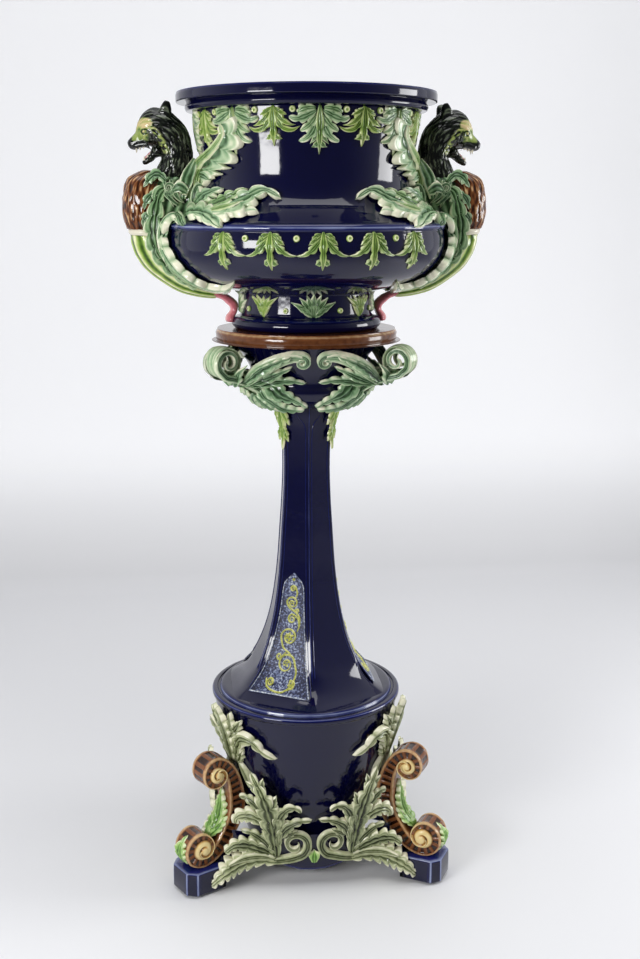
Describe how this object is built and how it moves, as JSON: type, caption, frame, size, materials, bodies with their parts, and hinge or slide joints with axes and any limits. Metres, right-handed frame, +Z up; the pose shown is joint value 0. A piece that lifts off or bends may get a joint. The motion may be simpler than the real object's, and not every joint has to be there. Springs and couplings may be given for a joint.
{
  "type": "jardiniere on stand",
  "caption": "Glazed earthenware plant bowl with animal-head handles that lifts off a matching pedestal with a six-sided column and three scroll legs.",
  "frame": {"origin": "middle of the floor area that the whole object covers, at floor level; the axis of the bowl and column stands 17 mm in front of it", "axes": "+Z up, -Y towards the front seen in the picture, +X to the right"},
  "size_m": [0.539, 0.45, 1.2],
  "materials": {
    "amber_glaze": "glossy mottled amber-brown lead glaze over earthenware",
    "beige_glaze": "glossy beige glaze over earthenware",
    "chest_glaze": "glossy mottled brown glaze over earthenware",
    "cobalt_glaze": null,
    "fur_glaze": "glossy near-black green glaze brushed over a carved fur",
    "sea_green_glaze": "glossy sea-green lead glaze, cream on raised edges, over earthenware",
    "yellow_green_glaze": "glossy yellow-green lead glaze over earthenware"
  },
  "bodies": {
    "stand": {"apron_1": "cobalt_glaze", "apron_2": "cobalt_glaze", "apron_3": "cobalt_glaze", "apron_leaves_1": "sea_green_glaze", "apron_leaves_2": "sea_green_glaze", "apron_leaves_3": "sea_green_glaze", "base_drum": "cobalt_glaze", "capital": "cobalt_glaze", "capital_spray_1": "sea_green_glaze", "capital_spray_2": "sea_green_glaze", "capital_spray_3": "sea_green_glaze", "capital_volute_1": "sea_green_glaze", "capital_volute_2": "sea_green_glaze", "capital_volute_3": "sea_green_glaze", "column": "cobalt_glaze", "column_panel_1": "yellow_green_glaze", "column_panel_2": "yellow_green_glaze", "column_panel_3": "yellow_green_glaze", "column_pendant_1": "yellow_green_glaze", "column_pendant_2": "yellow_green_glaze", "column_pendant_3": "yellow_green_glaze", "dish": "amber_glaze", "foot_block_1": "cobalt_glaze", "foot_block_2": "cobalt_glaze", "foot_block_3": "cobalt_glaze", "leg_crest_1": "sea_green_glaze", "leg_crest_2": "sea_green_glaze", "leg_crest_3": "sea_green_glaze", "leg_scroll_1": "amber_glaze", "leg_scroll_2": "amber_glaze", "leg_scroll_3": "amber_glaze", "shin_leaf_1": "sea_green_glaze", "shin_leaf_2": "sea_green_glaze", "shin_leaf_3": "sea_green_glaze"},
    "jardiniere": {"bowl": "cobalt_glaze", "bowl_foot": "cobalt_glaze", "bowl_rim": "cobalt_glaze", "foot_leaves": "sea_green_glaze", "foot_studs": "yellow_green_glaze", "left_bear_head": "fur_glaze", "left_body": "yellow_green_glaze", "left_chest": "chest_glaze", "left_collar": "beige_glaze", "left_leaves_back": "sea_green_glaze", "left_leaves_front": "sea_green_glaze", "left_paw": "beige_glaze", "lower_leaves": "sea_green_glaze", "lower_studs": "yellow_green_glaze", "right_bear_head": "fur_glaze", "right_body": "yellow_green_glaze", "right_chest": "chest_glaze", "right_collar": "beige_glaze", "right_leaves_back": "sea_green_glaze", "right_leaves_front": "sea_green_glaze", "right_paw": "beige_glaze", "upper_leaves_large": "sea_green_glaze", "upper_leaves_small": "yellow_green_glaze", "upper_studs": "yellow_green_glaze"}
  },
  "joints": [
    {"name": "jardiniere_lift", "type": "slide", "parent": "stand", "child": "jardiniere", "axis": [0, 0, 1], "range_m": [0, 0.15]}
  ]
}
